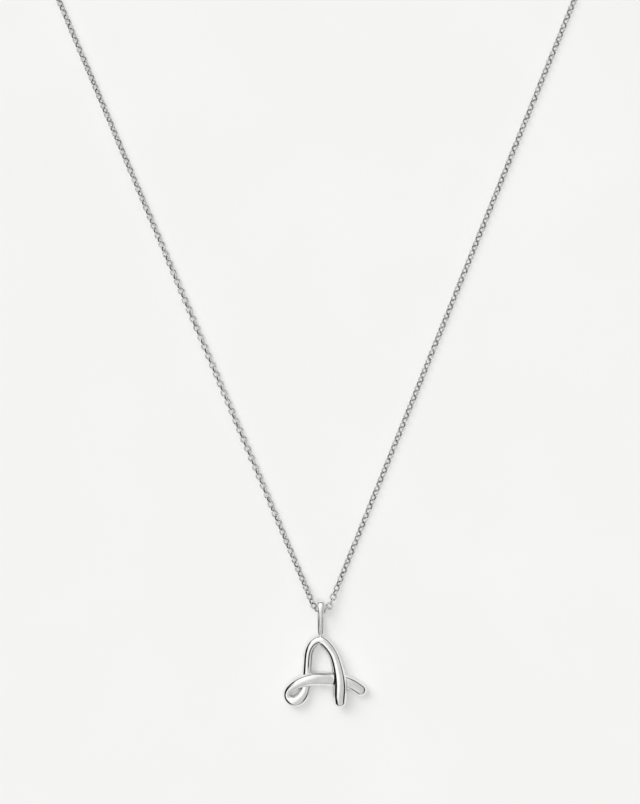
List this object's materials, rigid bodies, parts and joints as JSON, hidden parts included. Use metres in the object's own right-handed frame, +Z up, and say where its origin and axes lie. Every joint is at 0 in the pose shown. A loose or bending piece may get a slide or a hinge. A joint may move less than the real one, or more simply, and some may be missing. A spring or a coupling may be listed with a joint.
{
  "type": "initial pendant necklace",
  "caption": "Cursive letter A pendant in polished silver with a long soldered bail, on a fine cable chain closed by a clasp, lying flat.",
  "frame": {"origin": "middle of the whole necklace on the surface that it lies on", "axes": "+Z up out of the surface, out of the letter's face; +Y from the letter's foot along the necklace to the clasp; +X to the letter's right"},
  "size_m": [0.1044, 0.205, 0.0036],
  "materials": {
    "pendant_silver": "sterling silver, polished to a mirror",
    "chain_silver": "sterling silver wire, bright",
    "clasp_silver": "sterling silver, polished"
  },
  "bodies": {
    "root": {"letter_pendant": "pendant_silver", "chain": "chain_silver", "clasp": "clasp_silver"}
  },
  "joints": []
}
